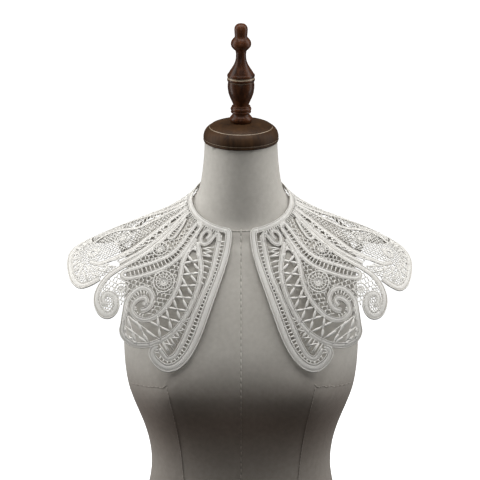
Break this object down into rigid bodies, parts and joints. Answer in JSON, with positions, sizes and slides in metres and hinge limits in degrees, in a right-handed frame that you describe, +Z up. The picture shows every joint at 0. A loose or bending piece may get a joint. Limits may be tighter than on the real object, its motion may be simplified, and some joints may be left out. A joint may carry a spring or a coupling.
{
  "type": "lace collar on dress form",
  "caption": "Lobed cape collar of tape lace, open at the front, lying on a limbless linen dress form with a turned neck cap and finial.",
  "frame": {"origin": "centre of the base board's underside", "axes": "+Z up the form, the front of the form and the collar's opening face -Y, the wearer's left is +X"},
  "size_m": [0.4565, 0.2488, 0.7616],
  "materials": {
    "linen": "greige plain-weave linen cover",
    "turned_wood": "dark red-brown varnish",
    "board_wood": "waxed board",
    "lace": "ivory cotton tape lace",
    "neck_tape": "ivory woven cotton tape"
  },
  "bodies": {
    "root": {"base_board": "board_wood", "form_torso": "linen", "neck_cap": "turned_wood", "finial": "turned_wood", "neck_tape": "neck_tape", "front_border_left": "lace", "front_border_right": "lace", "lace_front_left": "lace", "lace_front_right": "lace", "lace_shoulder_left": "lace", "lace_shoulder_right": "lace", "lace_back": "lace"}
  },
  "joints": []
}
